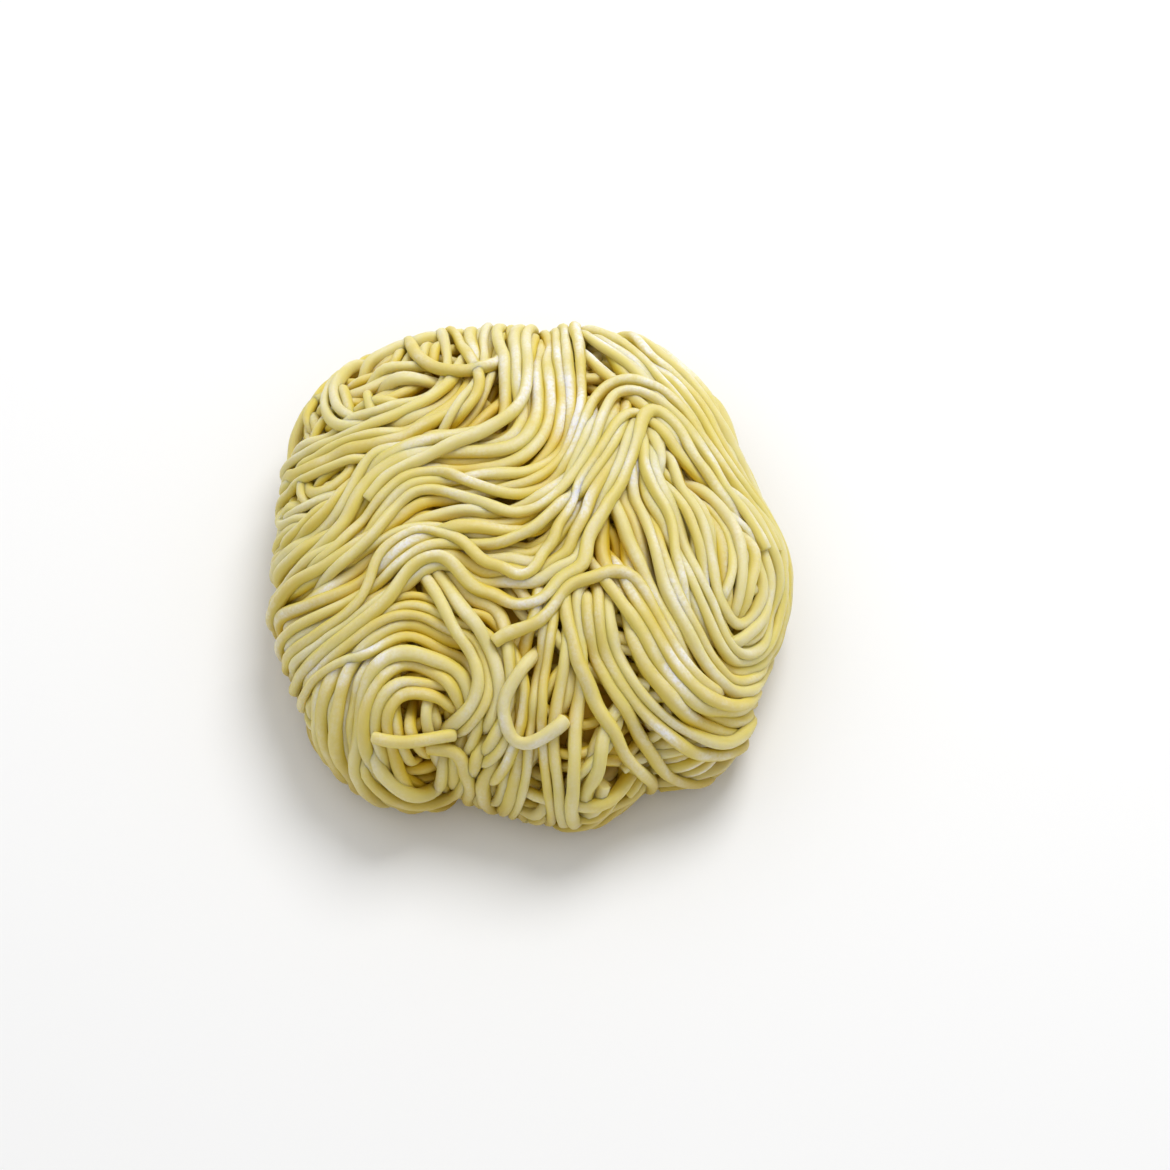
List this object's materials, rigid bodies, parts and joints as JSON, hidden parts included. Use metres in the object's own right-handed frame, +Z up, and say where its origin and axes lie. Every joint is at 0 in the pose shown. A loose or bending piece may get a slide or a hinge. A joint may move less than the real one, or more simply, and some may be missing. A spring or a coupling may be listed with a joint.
{
  "type": "ramen noodle nest",
  "caption": "Portion of fresh wheat noodles folded over itself into a round, domed nest with wavy sheaves, curls and a flat underside.",
  "frame": {"origin": "middle of the flat underside", "axes": "+Z up, the pictured front towards -Y, +X to the right of it"},
  "size_m": [0.1066, 0.1115, 0.0401],
  "materials": {
    "noodle_dough": "pale yellow wheat dough, matt, dusted with flour"
  },
  "bodies": {
    "root": {"noodle_nest": "noodle_dough"}
  },
  "joints": []
}
